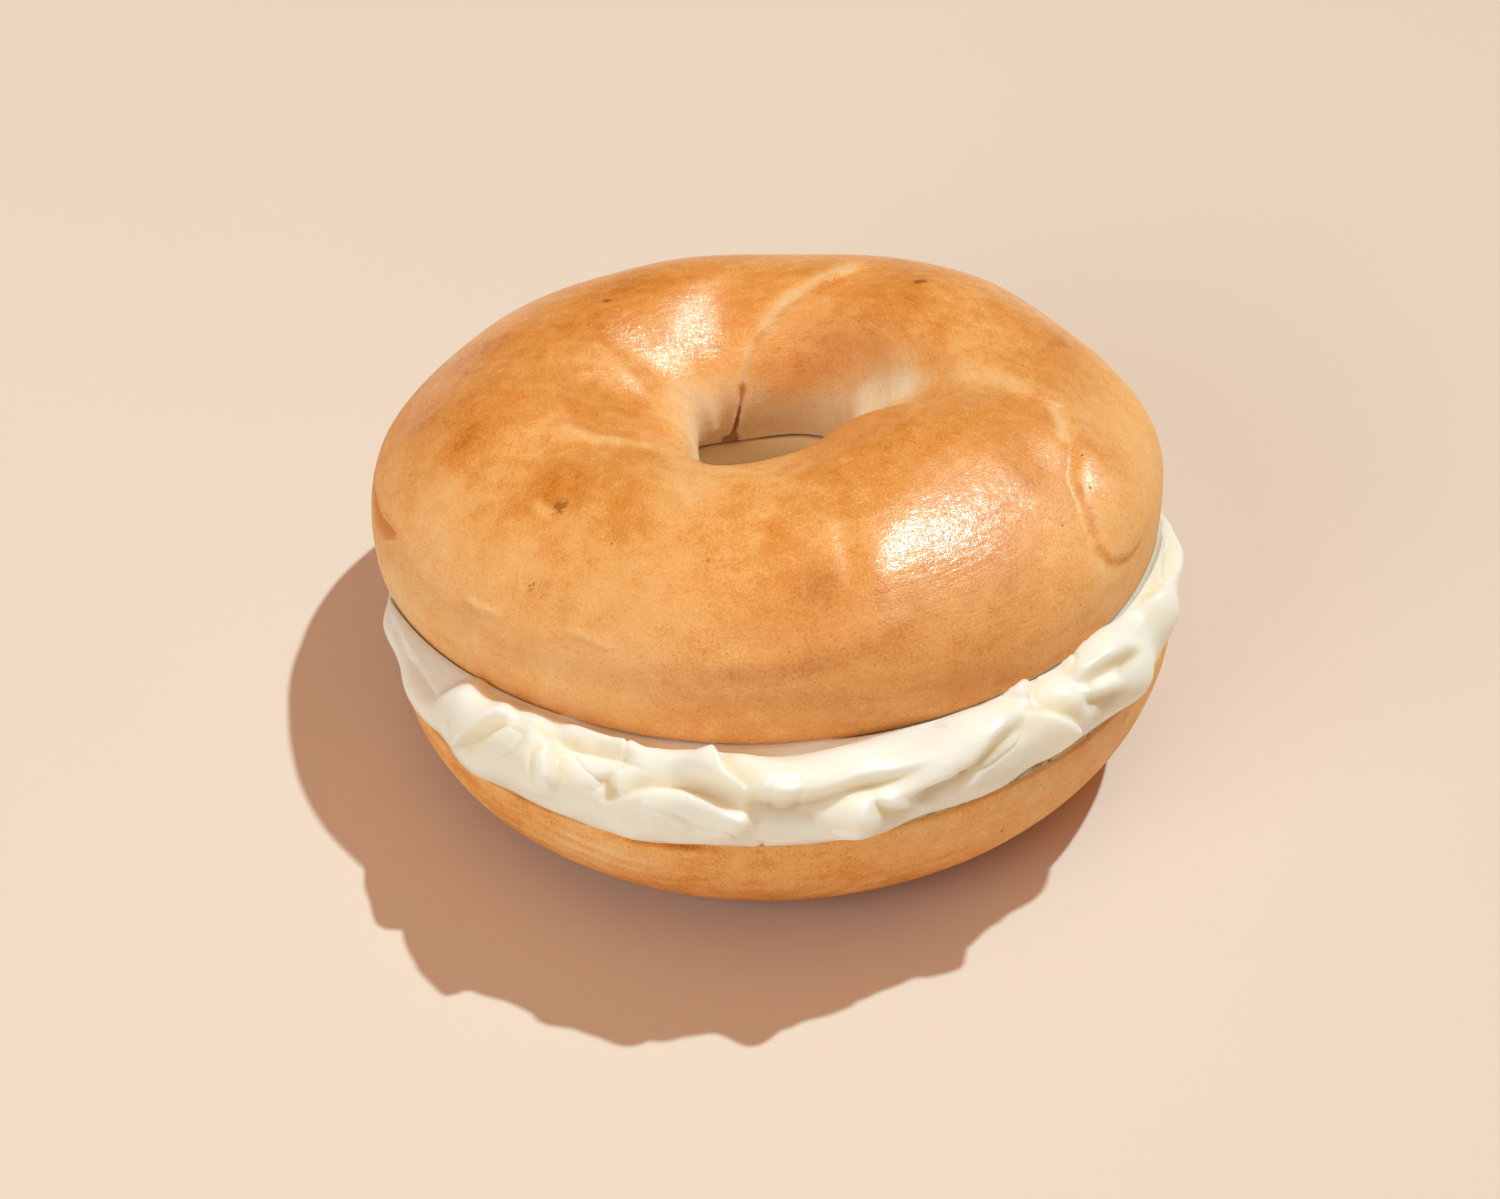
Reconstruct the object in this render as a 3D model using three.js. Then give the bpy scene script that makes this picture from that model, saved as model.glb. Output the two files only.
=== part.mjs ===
// A filled bagel: two bread halves with a layer of cream cheese between them.
// Millimetres, +Z up. The origin is on the floor under the middle of the whole,
// and the bagel stands on the small flat under its lower half.
//
// Every piece is a closed ring. A point of a ring is found from two angles:
//   around  - the way round the ring, 0 at +X, counter-clockwise from above
//   section - the way round the ring's cross-section, 0 at the outer side,
//             90 at the crown, 180 in the hole, -90 underneath
import * as THREE from 'three';

const RAD = Math.PI / 180;
const { cos, sin, tan, min, max, abs, sign, hypot, PI } = Math;
const clamp = (v, low, high) => min(max(v, low), high);
const smooth = (v) => { const s = clamp(v, 0, 1); return s * s * (3 - 2 * s); };

// ---------------------------------------------------------------- sizes
const GAP = 0.35;                 // clear space between neighbouring pieces
const AROUND = { top: 124, bottom: 84, cream: 116 };   // mesh steps round each ring
const EDGE_SHARE = 0.7;           // how much of an edge's rounding its rim is set back

// A wave is [how many times round, height in mm, where it peaks in degrees].
const HOLE = {
  radius: 11.6, x: -2.2, y: 7.7,  // the hole lies behind the ring's own middle
  waves: [[1, 1.2, 350], [3, 1.5, 150]],   // three soft corners
};

const TOP = {
  radius: 50.5, waves: [[2, 2.0, -37], [3, 0.4, 39]],
  crownAt: 0.41,                  // place of the crown between hole and outside
  rise: 14.2,                     // crown above the widest line
  skirt: 5.1,                     // widest line above the cut
  tuck: 0.4,                      // how far the skirt goes in at the cut
  fullness: -0.04,                // shoulders of the section, below 0 is slimmer
  tiltBack: 5.4, tiltSide: 5.4,   // the front and the right side stand higher
  x: -0.4, y: 5.2, z: 23.0,       // middle of the cut face
  edge: 0.9,                      // rounding between crust and cut face
};

const BOTTOM = {
  radius: 48.2, waves: [[2, 1.3, 0], [3, 0.4, 12]],
  cut: 18.0,                      // height of the cut face at its middle
  widest: 16.4,                   // height of the widest line
  tuck: 0.4, fullness: 0.024,
  tiltBack: 3.2, tiltSide: 4.5,
  x: 1.7, y: -5.5,
  flat: 0.5,                      // depth that the floor takes off the round underside
  edge: 0.9,
};

// The cheese: a layer between the cut faces that ends in a thick bead outside.
// `spill`, `bead` and `sag` are given round the ring as [angle, mm].
const CREAM = {
  hole: [13.2, 17.2], holeX: -1.2, holeY: 6.2,   // half widths and middle of its opening
  holeSquare: 3.0,                // 2 is an oval opening, more is squarer
  // how far the bead reaches past the lower half
  spill: [[0, -0.4], [25, -2.0], [90, -1.8], [150, -0.8], [180, 2.0], [203, 0.6], [214, 1.6],
    [226, 2.3], [245, 2.9], [270, 2.8], [330, 1.4]],
  // bead radius
  bead: [[0, 4.0], [50, 2.4], [150, 2.2], [185, 2.6], [205, 3.0], [216, 5.0], [232, 5.3],
    [270, 5.2], [320, 4.8]],
  // how far the bead hangs over the edge it rests on
  sag: [[0, 1.0], [180, 1.2], [205, 1.0], [218, 2.4], [232, 1.4], [262, 1.4], [272, 1.9],
    [300, 1.2]],
  folds: [[9, 1.4, 0.45], [14, -1.9, 0.35], [23, 0.8, 0.28]],  // [times round, lean, height]
  foot: 0.25,                     // how much thinner the bead starts underneath
  layerAt: 4,                     // the layer's own thickness is taken this far inside its end
  nose: 0.6,                      // how far the layer bulges into the hole
  clear: 1.1,                     // reach past an outline in which the bead keeps off the bread
};

// For lengths over the upper crust: radius of the section, and of the ring at a section.
const CRUST = { tube: 17, ring: 31, across: 18 };
const UNEVEN = [[5, 2, 0.25], [9, -3, 0.18]];    // slow waves: [times round, lean, height]
const CREASE_FADE = 6;            // a crease fades out over 1/6 of its path at both ends

// Folds in the crust of the upper half. Each follows a path of [around, section]
// points. The dough is sunk along the path and the side named by `lip` stands up.
// A fold of negative depth is a ridge.
const CREASES = [
  { // the two dough ends meet across the back of the ring
    path: [[105, 199], [98, 180], [92, 171], [85, 158], [77.5, 140], [73.5, 134], [70.5, 124],
      [65.5, 115], [60.5, 101], [56, 86], [53, 66]],
    depth: 0.4, width: 1.5, lip: 0.4, lipSide: -1, lipWidth: 4.0,
  },
  { // a lobe laid over the right side
    path: [[346, 88], [346, 59], [337, 51.5], [329.8, 44.5], [325.8, 33], [323.5, 22],
      [325, 12], [329, 5.5], [334, 4], [340, 6.5], [344, 11]],
    depth: 0.4, width: 1.4, lip: 0.4, lipSide: -1, lipWidth: 3.5,
  },
  { // a pinch in the left side
    path: [[168, 16], [181, 14], [190, 16], [200, 22]],
    depth: 0.7, width: 0.9, lip: 0.4, lipSide: -1, lipWidth: 2.6,
  },
  { // a low ridge along the left rim of the hole
    path: [[148, 108], [157, 126], [168, 138], [185, 148], [208, 148], [226, 130]],
    depth: -0.4, width: 1.4, lip: 0, lipSide: 1, lipWidth: 1,
  },
  { // and one in front of it
    path: [[200, 88], [214, 98], [226, 108], [242, 115]],
    depth: -0.7, width: 1.4, lip: 0, lipSide: 1, lipWidth: 1,
  },
];
// Broad shallow hollows and swellings: [around, section, radius in mm, height in mm].
const DENTS = [
  [4, 148, 7, -2.6], [352, 115, 6.5, -2.6], [346, 92, 5, -1.4],     // valley right of the hole
  [282, 50, 3.5, -0.35], [329, 54, 5, -0.9], [228, 69, 4, -0.5], [215, 96, 12, -0.6],
  [38, 62, 9, 0.8], [337, 30, 6.5, 1.4], [266, 98, 9, 0.5], [288, 58, 9, 2.0],
  [306, 74, 11, 1.4], [326, 64, 8, 1.3], [298, 42, 9, -0.6], [95, 118, 8, -0.8],
  [128, 149, 13, 2.3], [140, 174, 11, 2.9], [165, 172, 12, 0.6], [190, 172, 12, 2.2],
  [150, 158, 9, -0.6],                                              // wall left of the hole
];

// ---------------------------------------------------------------- shape rules
const waveSum = (a, waves) => waves.reduce(
  (sum, [times, height, peak]) => sum + height * cos(times * (a - peak * RAD)), 0);

const leanSum = (a, t, waves) => waves.reduce(
  (sum, [times, lean, height]) => sum + height * cos(times * a + lean * t), 0);

// A smooth value round the ring through [angle, value] knots in rising order.
function roundKnots(a, knots) {
  const angle = ((a / RAD) % 360 + 360) % 360;
  let k = knots.findIndex(([at]) => at > angle);
  if (k < 0) k = knots.length;
  const [from, low] = k ? knots[k - 1] : [knots.at(-1)[0] - 360, knots.at(-1)[1]];
  const [to, high] = k < knots.length ? knots[k] : [knots[0][0] + 360, knots[0][1]];
  return low + (high - low) * smooth((angle - from) / (to - from));
}

// The straight line across a ring from one floor point to another. `at(s)` is the
// point s mm along it.
function across(start, end) {
  const span = hypot(end[0] - start[0], end[1] - start[1]);
  const out = [(end[0] - start[0]) / span, (end[1] - start[1]) / span];
  return { span, at: (s) => [start[0] + out[0] * s, start[1] + out[1] * s] };
}

// The line across a bread half at one angle, from the hole's outline to the outer
// outline, in the half's own plane.
function spoke(a, half) {
  const hole = HOLE.radius + waveSum(a, HOLE.waves);
  const outer = half.radius + waveSum(a, half.waves);
  const start = [HOLE.x + hole * cos(a), HOLE.y + hole * sin(a)];
  return across(start, [outer * cos(a), outer * sin(a)]);
}

// Distance in mm from a point of the crust to a path, its side, and how far along it.
function toPath(a, t, path, ringRadius, tubeRadius) {
  let best = { distance: Infinity, side: 1, along: 0 };
  for (let k = 0; k + 1 < path.length; k++) {
    const [a0, t0] = path[k].map((v) => v * RAD);
    const [a1, t1] = path[k + 1].map((v) => v * RAD);
    const px = shortTurn(a - a0) * ringRadius;
    const py = (t - t0) * tubeRadius;
    const dx = (a1 - a0) * ringRadius;
    const dy = (t1 - t0) * tubeRadius;
    const s = clamp((px * dx + py * dy) / (dx * dx + dy * dy), 0, 1);
    const distance = hypot(px - s * dx, py - s * dy);
    if (distance < best.distance) {
      const side = dx * py - dy * px > 0 ? -1 : 1;
      best = { distance, side, along: (k + s) / (path.length - 1) };
    }
  }
  return best;
}

// An angle brought between half a turn back and half a turn on.
function shortTurn(turn) {
  return turn - Math.round(turn / (2 * PI)) * 2 * PI;
}

// How far the upper crust stands out at a place, from its folds, hollows and waves.
function crustRelief(a, t) {
  const ringRadius = CRUST.ring + CRUST.across * cos(t);
  let height = leanSum(a, t, UNEVEN);
  for (const c of CREASES) {
    const { distance, side, along } = toPath(a, t, c.path, ringRadius, CRUST.tube);
    const fade = smooth(along * CREASE_FADE) * smooth((1 - along) * CREASE_FADE);
    height -= fade * c.depth * Math.exp(-((distance / c.width) ** 2));
    if (side === c.lipSide) {
      const raised = smooth(distance / c.width) * Math.exp(-((distance / c.lipWidth) ** 2));
      height += fade * c.lip * raised;
    }
  }
  for (const [da, dt, radius, rise] of DENTS) {
    const distance = hypot(shortTurn(a - da * RAD) * ringRadius, (t - dt * RAD) * CRUST.tube);
    height += rise * Math.exp(-((distance / radius) ** 2));
  }
  return height;
}

// Height of the two cut faces over any point of the floor.
const topCut = (x, y) => TOP.z + (x - TOP.x) * tan(TOP.tiltSide * RAD)
  - (y - TOP.y) * tan(TOP.tiltBack * RAD) / cos(TOP.tiltSide * RAD);
const bottomCut = (x, y) => BOTTOM.cut + (x - BOTTOM.x) * tan(BOTTOM.tiltSide * RAD)
  - (y - BOTTOM.y) * tan(BOTTOM.tiltBack * RAD);

// Turns and moves a point of the upper half from its own plane to its place.
function placeTop(x, y, z) {
  const back = TOP.tiltBack * RAD;
  const side = TOP.tiltSide * RAD;
  const y1 = y * cos(back) + z * sin(back);
  const z1 = z * cos(back) - y * sin(back);
  return [TOP.x + x * cos(side) - z1 * sin(side), TOP.y + y1,
    TOP.z + x * sin(side) + z1 * cos(side)];
}

// A point of the upper crust. The section runs from the cut's outer edge, a little
// below 0, over the crown to the cut's inner edge, a little past 180.
function topCrust(a, t) {
  const { span, at } = spoke(a, TOP);
  const crown = span * TOP.crownAt;
  const skirtTurn = TOP.skirt / TOP.rise;        // section angle that the skirt spans
  const arc = clamp(t, 0, PI);
  const full = 1 + TOP.fullness * sin(2 * arc) ** 2;
  const reach = cos(arc) > 0 ? span - crown : crown;
  const low = max(-t, 0) / skirtTurn;
  const lowInside = max(t - PI, 0) / skirtTurn;
  const s = crown + reach * cos(arc) * full - TOP.tuck * low ** 2 + TOP.tuck * lowInside ** 2;
  const z = TOP.skirt + TOP.rise * sin(arc) * full - TOP.skirt * (low + lowInside);
  const lift = crustRelief(a, t) * smooth(z / TOP.skirt);
  const foot = EDGE_SHARE * TOP.edge * smooth(1 - z / TOP.edge);
  return placeTop(...at(s + lift * cos(arc) * full), max(z + lift * sin(arc), foot));
}

// A point of the upper half's cut face, from its hole (share 0) to outside (share 1).
function topFace(a, share) {
  const { span, at } = spoke(a, TOP);
  const inside = TOP.tuck + TOP.edge;
  return placeTop(...at(inside + (span - 2 * inside) * share), 0);
}

// Sets a point of the lower half in place: the cut face leans and the foot stays level.
function placeBottom([x, y], z) {
  const rise = x * tan(BOTTOM.tiltSide * RAD) - y * tan(BOTTOM.tiltBack * RAD);
  return [BOTTOM.x + x, BOTTOM.y + y, z * (1 + rise / BOTTOM.cut)];
}

// A point of the lower crust. The section runs from the cut's inner edge, under the
// ring, to the cut's outer edge.
function bottomCrust(a, t) {
  const { span, at } = spoke(a, BOTTOM);
  const { cut, widest, tuck, flat, edge } = BOTTOM;
  const collar = cut - widest;
  const collarTurn = collar / widest;
  const arc = clamp(t, -PI, 0);
  const full = 1 + BOTTOM.fullness * sin(2 * arc) ** 2;
  const high = max(t, 0) / collarTurn;
  const highInside = max(-PI - t, 0) / collarTurn;
  const s = span / 2 * (1 + cos(arc) * full) - tuck * high ** 2 + tuck * highInside ** 2;
  const drop = flat * widest / (widest + flat);
  const round = widest * (1 + sin(arc) * full) + collar * (high + highInside);
  const z = max((round - drop) * cut / (cut - drop), 0);
  return placeBottom(at(s), z - EDGE_SHARE * edge * smooth((z - cut + edge) / edge));
}

// A point of the lower half's cut face, from its hole (share 0) to outside (share 1).
function bottomFace(a, share) {
  const { span, at } = spoke(a, BOTTOM);
  const inside = BOTTOM.tuck + BOTTOM.edge;
  return placeBottom(at(inside + (span - 2 * inside) * share), BOTTOM.cut);
}

// Distance past the outline of a half, from a place on the floor: negative is inside.
function pastOutline(x, y, half) {
  const dx = x - half.x;
  const dy = y - half.y;
  return hypot(dx, dy) - (half.radius + waveSum(Math.atan2(dy, dx), half.waves));
}

// The cream's section, as steps from the inner end, along the underside, round the
// bead and back along the upper side.
const CREAM_STEPS = { under: 4, bead: 9, over: 4, nose: 1 };
const CREAM_SECTION = CREAM_STEPS.under + CREAM_STEPS.bead + CREAM_STEPS.over + CREAM_STEPS.nose;
const BEAD_TURN = { from: -95, to: 150 };
const STEP_SHIFT = 0.4;           // part of a step that the layer's points keep off its ends

// The line across the cream at one angle, from its opening to the end of its bead.
function creamSpoke(a) {
  const bend = (v) => sign(v) * abs(v) ** (2 / CREAM.holeSquare);
  const inner = [CREAM.holeX + CREAM.hole[0] * bend(cos(a)),
    CREAM.holeY + CREAM.hole[1] * bend(sin(a))];
  const reach = BOTTOM.radius + waveSum(a, BOTTOM.waves) + roundKnots(a, CREAM.spill);
  return across(inner, [BOTTOM.x + reach * cos(a), BOTTOM.y + reach * sin(a)]);
}

function creamPoint(a, step) {
  const { span, at } = creamSpoke(a);
  const end = at(span - CREAM.layerAt);
  const layer = topCut(...end) - bottomCut(...end) - 2 * GAP;
  const bead = max(roundKnots(a, CREAM.bead), layer / 2);
  const core = span - bead;
  const { under, bead: beadSteps, over, nose } = CREAM_STEPS;

  if (step < under) {
    const p = at(core * (step + STEP_SHIFT) / under);
    return [...p, bottomCut(...p) + GAP];
  }
  if (step < under + beadSteps) {
    const share = (step - under) / (beadSteps - 1);
    return beadPoint(a, share, bead, core, at);
  }
  if (step < CREAM_SECTION - nose) {
    const share = 1 - (step - under - beadSteps + 1 - STEP_SHIFT) / over;
    const p = at((core - bead) * share);
    return [...p, topCut(...p) - GAP];
  }
  const p = at(-CREAM.nose);
  return [...p, (topCut(...p) + bottomCut(...p)) / 2];
}

// A point of the bead: round its heart from underneath, outside, to its inner top.
function beadPoint(a, share, bead, core, at) {
  const turn = (BEAD_TURN.from + (BEAD_TURN.to - BEAD_TURN.from) * share) * RAD;
  const fold = leanSum(a, turn, CREAM.folds) * sin(PI * share) ** 2;
  const swell = bead + fold - CREAM.foot * (1 - share);
  const heart = bottomCut(...at(core)) + GAP + bead - roundKnots(a, CREAM.sag);
  return keepClear([...at(core + swell * cos(turn)), heart + swell * sin(turn)]);
}

// Holds a point of the bead off the crusts and between the cut faces.
function keepClear([x, y, z]) {
  let height = z;
  if (pastOutline(x, y, TOP) < CREAM.clear) height = min(height, topCut(x, y) - GAP);
  if (pastOutline(x, y, BOTTOM) < CREAM.clear) height = max(height, bottomCut(x, y) + GAP);
  return [x, y, height];
}

// ---------------------------------------------------------------- meshes
// A closed ring from `around` x `section` points. pointAt gives each one.
function ring(name, around, section, pointAt, colour, roughness) {
  const points = [];
  const faces = [];
  for (let i = 0; i < around; i++) {
    for (let j = 0; j < section; j++) points.push(...pointAt(i / around * 2 * PI, j));
  }
  const index = (i, j) => (i % around) * section + (j % section);
  for (let i = 0; i < around; i++) {
    for (let j = 0; j < section; j++) {
      const a = index(i, j);
      const c = index(i + 1, j + 1);
      faces.push(a, index(i + 1, j), c, a, c, index(i, j + 1));
    }
  }
  const geometry = new THREE.BufferGeometry();
  geometry.setAttribute('position', new THREE.Float32BufferAttribute(points, 3));
  geometry.setIndex(faces);
  geometry.computeVertexNormals();
  const material = new THREE.MeshStandardMaterial({ color: colour, roughness, metalness: 0 });
  const mesh = new THREE.Mesh(geometry, material);
  mesh.name = name;
  return mesh;
}

// Steps over the crust from one cut edge to the other, then back over the cut face.
const TOP_STEPS = { crust: 20, face: 4 };
const BOTTOM_STEPS = { crust: 17, face: 3 };

function topRing() {
  const { crust, face } = TOP_STEPS;
  const skirt = TOP.skirt / TOP.rise;
  return ring('top_half', AROUND.top, crust + face, (a, j) => (j < crust
    ? topCrust(a, -skirt + (PI + 2 * skirt) * j / (crust - 1))
    : topFace(a, (j - crust) / (face - 1))), 0xd9964a, 0.45);
}

function bottomRing() {
  const { crust, face } = BOTTOM_STEPS;
  const collar = (BOTTOM.cut - BOTTOM.widest) / BOTTOM.widest;
  return ring('bottom_half', AROUND.bottom, crust + face, (a, j) => (j < crust
    ? bottomCrust(a, -PI - collar + (PI + 2 * collar) * j / (crust - 1))
    : bottomFace(a, 1 - (j - crust) / (face - 1))), 0xd79a55, 0.6);
}

function creamRing() {
  return ring('cream_cheese', AROUND.cream, CREAM_SECTION, creamPoint, 0xf6efd9, 0.35);
}

const bagel = new THREE.Group();
bagel.name = 'bagel';
bagel.add(bottomRing(), creamRing(), topRing());
export default bagel;
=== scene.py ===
"""Looks of the filled bagel: two halves of bread and the cream cheese between them.

Each piece is one closed ring mesh in place of one CAD node. It follows the same rules of
shape as the node, from the same sizes, and adds what is finer. A place on a ring is given by
two angles: around, from the right side over the back, and section, from the outside over the
top into the hole, with negative angles underneath. A path is a list of such places. Lengths
are in mm until a mesh is made. The tables and module constants have angles in degrees, and
the functions take them in radians where nothing else is said.
"""

import math

import bpy
import numpy as np
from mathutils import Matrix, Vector


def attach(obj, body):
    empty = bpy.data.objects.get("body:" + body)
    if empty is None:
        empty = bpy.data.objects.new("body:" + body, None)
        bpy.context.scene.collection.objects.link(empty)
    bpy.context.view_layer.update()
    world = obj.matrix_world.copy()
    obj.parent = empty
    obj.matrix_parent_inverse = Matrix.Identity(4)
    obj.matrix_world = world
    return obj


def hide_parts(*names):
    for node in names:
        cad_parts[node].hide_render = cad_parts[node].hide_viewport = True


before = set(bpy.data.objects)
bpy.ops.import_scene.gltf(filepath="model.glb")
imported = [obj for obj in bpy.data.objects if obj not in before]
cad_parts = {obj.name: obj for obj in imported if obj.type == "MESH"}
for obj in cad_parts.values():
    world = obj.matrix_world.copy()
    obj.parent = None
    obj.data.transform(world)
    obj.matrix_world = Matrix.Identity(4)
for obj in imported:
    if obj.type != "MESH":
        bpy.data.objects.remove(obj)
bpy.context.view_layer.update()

MM = 0.001
RAD = math.pi / 180

# ---------------------------------------------------------------- sizes of the solids
# A wave of an outline is (times round, height, around at its peak). Of each half: x, y, and z
# or cut, are the middle of its cut face; back and side are the degrees by which that falls to
# the back and rises to the right; fullness is how much the section swells between its axes;
# tuck is how far the wall draws in at the cut, and edge how far the cut's rim is rounded. The
# upper half has its crown at a share of the way out from the hole, on a rise above a skirt,
# and the lower half is widest above the floor and flat underneath.
GAP = 0.35                  # from the cream to each cut face
HOLE = dict(radius=11.6, x=-2.2, y=7.7, waves=[(1, 1.2, 350), (3, 1.5, 150)])
TOP = dict(radius=50.5, waves=[(2, 2.0, -37), (3, 0.4, 39)], x=-0.4, y=5.2, z=23.0,
           back=5.4, side=5.4, crown_at=0.41, rise=14.2, skirt=5.1, fullness=-0.04,
           tuck=0.4, edge=0.9)
BOTTOM = dict(radius=48.2, waves=[(2, 1.3, 0), (3, 0.4, 12)], x=1.7, y=-5.5, cut=18.0,
              back=3.2, side=4.5, widest=16.4, flat=0.5, fullness=0.024,
              tuck=0.4, edge=0.9)
# The cream's hole is a rounded rectangle. Its spill past the lower half, its bead's radius
# and how far the bead sags are (around, mm). A fold is (times round, times over, height).
CREAM = dict(hole=(13.2, 17.2), square=3.0, x=-1.2, y=6.2,
             spill=[(0, -0.4), (25, -2.0), (90, -1.8), (150, -0.8), (180, 2.0), (203, 0.6),
                    (214, 1.6), (226, 2.3), (245, 2.9), (270, 2.8), (330, 1.4)],
             bead=[(0, 4.0), (50, 2.4), (150, 2.2), (185, 2.6), (205, 3.0), (216, 5.0),
                   (232, 5.3), (270, 5.2), (320, 4.8)],
             sag=[(0, 1.0), (180, 1.2), (205, 1.0), (218, 2.4), (232, 1.4), (262, 1.4),
                  (272, 1.9), (300, 1.2)],
             folds=[(9, 1.4, 0.45), (14, -1.9, 0.35), (23, 0.8, 0.28)])
BEAD_FROM, BEAD_TO = -95, 150           # the bead's section, with 0 outwards and 90 up
ROOM_AT = 4                 # how far in from its edge the room for the bead is measured
FILL_FROM = 60              # section from which the bead fills up to the upper half
RIM_REACH = 1.1             # how far past the lower half the cream lies on its rim
RIM_LIFT = 0.7              # share of the edge by which a cut's rim is lifted

# Radii that turn angles into distances: over the bread's section, round its rings (the
# ring's middle, and what cos(section) adds), and round the bead.
TUBE = 17.0
UPPER_RING = (31, 18)
LOWER_RING = (29, 19)
BEAD_RING = 50.0

# ---------------------------------------------------------------- forms of the upper crust
SLOW_WAVES = [(5, 2, 0.25), (9, -3, 0.18)]      # times round, times over the section, height
# Folds: path, depth, width, lip height, side of the lip, lip width, and the depth of the
# sharp line in the fold. A fold of negative depth is a ridge.
CREASES = [
    ([(98, 180), (92, 171), (85, 158), (77.5, 140), (73.5, 134), (70.5, 124), (65.5, 115),
      (60.5, 101), (56, 86), (53, 66)], 0.04, 1.4, 0.34, -1, 3.6, 0.02),
    ([(105, 199), (98, 180), (92, 171), (87.5, 162)], 0.6, 0.8, 0, 1, 1, 0.4),
    ([(346, 88), (346, 59), (337, 51.5), (329.8, 44.5), (325.8, 33), (323.5, 22), (325, 12),
      (329, 5.5), (334, 4), (340, 6.5), (344, 11)], 0.22, 1.3, 0.28, -1, 3.5, 0.12),
    ([(291, 84), (288.5, 68), (286.8, 55), (286, 44)], 0.42, 1.5, 0, 1, 1, 0),
    ([(168, 16), (181, 14), (190, 16), (200, 22)], 0.7, 0.9, 0.4, -1, 2.6, 0.5),
    ([(148, 108), (157, 126), (168, 138), (185, 148), (208, 148), (226, 130)],
     -0.12, 1.2, 0, 1, 1, 0),
    ([(200, 91), (214, 101), (226, 111), (242, 118)], -0.7, 1.5, 0, 1, 1, 0),
    ([(157, 96), (155.5, 110), (152.5, 121)], -0.07, 0.7, 0, 1, 1, 0),
    ([(176, 103), (172.5, 114), (167, 127)], -0.07, 0.7, 0, 1, 1, 0),
    ([(258, 20), (272, 24), (284, 27), (294, 32)], -0.35, 1.6, 0, 1, 1, 0),
    ([(220, 22), (224, 21.3), (229, 22.8)], -0.22, 0.5, 0, 1, 1, 0),
    ([(240, 26), (244, 26), (250, 23.8)], -0.22, 0.6, 0, 1, 1, 0),
]
SHARP_WIDTH = 0.5           # of the sharp line in a fold
LINE_ENDS = 6               # a line on the crust fades over a sixth of it at each end
# Hollows and swellings: around, section, radius, height.
DENTS = [
    (4, 148, 7, -2.6), (352, 115, 6.5, -2.6), (346, 92, 5, -1.4), (282, 50, 3.5, -0.35),
    (329, 54, 5, -0.9), (228, 69, 4, -0.5), (215, 96, 12, -0.6), (38, 62, 9, 0.8),
    (337, 30, 6.5, 1.4), (266, 98, 9, 0.5), (288, 58, 9, 2.0), (306, 74, 11, 1.4),
    (326, 64, 8, 1.3), (298, 42, 9, -0.6), (128, 149, 13, 2.3), (140, 174, 11, 2.9),
    (165, 172, 12, 0.6), (190, 172, 12, 2.2), (95, 118, 8, -0.8), (150, 158, 9, -0.6),
]

# ---------------------------------------------------------------- marks on the upper crust
# Darker places (above 0) and paler ones (below 0): around, section, radius, amount.
# Some are painted light: (262, 62) and (285, 62) paint a pale sheen, painted highlights; (285,
# 6), (262, 2) and (310, 10) darken the lower front, painted shade, and (281.5, 50) paints shade
# on the flank beside the hollow at (282, 50).
TINTS_AND_PAINTED_LIGHT = [
    (224, 72, 5, 0.16), (232, 80, 4, 0.10), (215, 71, 4, 0.10), (243, 73, 3, 0.12),
    (195, 63, 3, 0.14), (40, 93, 5, 0.12), (270, 84, 2, 0.10), (15, 64, 6, 0.08),
    (340, 100, 5, 0.06), (162, 48, 8, 0.10), (176, 66, 9, 0.10), (150, 92, 8, 0.08),
    (120, 84, 10, 0.06), (262, 40, 7, -0.05), (301, 30, 9, 0.05), (208, 45, 9, -0.05),
    (285, 6, 24, 0.16), (262, 88, 9, -0.05), (225, 55, 5, -0.08), (2, 134, 6, -0.30),
    (8, 148, 6, -0.2), (281.5, 50, 2.2, 0.16), (334, 60, 9, 0.06), (318, 96, 10, 0.05),
    (30, 118, 9, 0.06), (262, 62, 14, -0.06), (318, 46, 8, 0.05), (20, 100, 13, -0.05),
    (358, 120, 6, -0.10), (285, 62, 5, -0.10), (310, 10, 10, 0.08), (262, 2, 14, 0.11),
    (300, 4, 12, 0.06), (190, 40, 12, 0.07), (72, 128, 6, -0.06), (200, 8, 10, -0.12),
    (318, 6, 9, -0.05),
]
# Darker and paler lines: path, half width, amount.
LINES_AND_PAINTED_HIGHLIGHTS = [
    # painted highlight: paler along the band on the back seam's upper side
    ([(57, 74), (60.5, 87), (65, 100), (69.5, 112), (75, 122), (77, 134), (80, 146)],
     1.2, -0.22),
    ([(81, 140), (86, 152), (90, 164)], 0.7, -0.20),
    # painted highlight: paler along the band on the back seam's upper side
    ([(59, 74), (62.5, 87), (67, 100), (71.5, 112), (77, 122)], 1.6, -0.12),
    ([(5, 150), (0, 128), (356, 108), (354, 94), (351, 80), (347, 62)], 2.2, -0.18),
    # painted highlight at the top of the right crease
    ([(347, 62), (341, 56), (336, 53)], 0.8, -0.30),
    ([(332, 45), (329, 38), (326, 28), (325, 21), (326, 9), (330, 4), (338, 4)], 0.5, 0.20),
    # painted highlight along the ridge left of the hole
    ([(200, 88), (214, 98), (226, 108), (242, 115)], 1.0, -0.18),
    ([(150, 112), (159, 128), (171, 140), (185, 149), (215, 146)], 0.7, -0.05),
    ([(220, 22.3), (224, 21.4), (229, 22.8)], 0.35, -0.10),
    ([(240, 26), (244, 26), (250, 23.8)], 0.35, -0.10),
    ([(221, 67), (225, 64), (228, 65)], 0.5, -0.14),
    ([(228, 43), (230.5, 34)], 0.25, -0.15),
    ([(262, 17), (276, 20), (290, 25)], 1.2, 0.08),
]
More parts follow.
